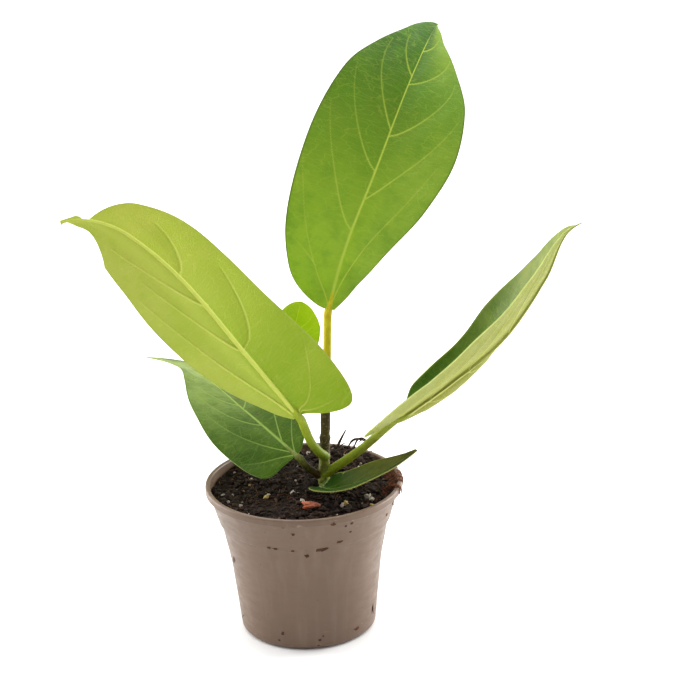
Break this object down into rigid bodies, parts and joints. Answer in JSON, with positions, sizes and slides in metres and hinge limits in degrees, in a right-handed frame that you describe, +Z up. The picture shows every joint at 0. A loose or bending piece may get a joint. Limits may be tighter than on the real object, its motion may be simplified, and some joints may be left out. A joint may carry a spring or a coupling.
{
  "type": "potted bengal fig",
  "caption": "Young bengal fig with leathery ovate leaves, rooted in dark soil in a round taupe plastic nursery pot.",
  "frame": {"origin": "centre of the pot's flat base, on the surface that it stands on", "axes": "+Z up along the pot's axis; -Y is the front, which the large lower left leaf arches across; +X to the right"},
  "size_m": [0.3032, 0.1849, 0.3576],
  "materials": {
    "pot_plastic": "satin",
    "potting_soil": "matte",
    "stem_bark": "matte",
    "stalk": "satin",
    "bud": "satin",
    "dried_sheath": "matte",
    "leaf_top": "satin",
    "leaf_left": "satin",
    "leaf_lower_left": "satin",
    "leaf_right": "satin",
    "leaf_low": "satin",
    "leaf_young": "satin"
  },
  "bodies": {
    "root": {"pot": "pot_plastic", "soil": "potting_soil", "stem": "stem_bark", "terminal_bud": "bud", "dried_sheath": "dried_sheath", "stalk_top": "stalk", "leaf_top": "leaf_top", "stalk_left": "stalk", "leaf_left": "leaf_left", "stalk_lower_left": "stalk", "leaf_lower_left": "leaf_lower_left", "stalk_right": "stalk", "leaf_right": "leaf_right", "stalk_low": "stalk", "leaf_low": "leaf_low", "stalk_young": "stalk", "leaf_young": "leaf_young"}
  },
  "joints": []
}
